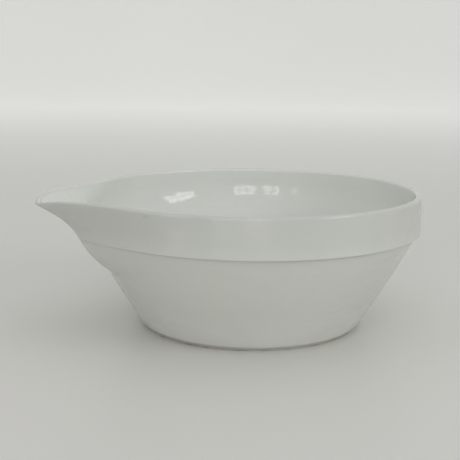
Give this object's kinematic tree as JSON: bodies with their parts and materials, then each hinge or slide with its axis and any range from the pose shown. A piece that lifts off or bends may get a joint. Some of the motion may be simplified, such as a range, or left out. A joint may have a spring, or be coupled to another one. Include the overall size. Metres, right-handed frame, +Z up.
{
  "type": "evaporating dish",
  "caption": "Round flat-bottomed porcelain evaporating dish with sloping walls, a raised band under the rim, a glazed inside and a broad pouring spout.",
  "frame": {"origin": "centre of the flat ring that the foot rests on, on the bowl's axis", "axes": "+Z up along the bowl's axis; -X towards the tip of the spout"},
  "size_m": [0.2763, 0.24, 0.0989],
  "materials": {
    "bare_porcelain": "matte",
    "glaze": "gloss"
  },
  "bodies": {
    "root": {"bowl_body": "bare_porcelain", "pouring_spout": "bare_porcelain", "luting_joint": "bare_porcelain", "bowl_glaze": "glaze", "spout_glaze": "glaze", "base_glaze": "glaze"}
  },
  "joints": []
}
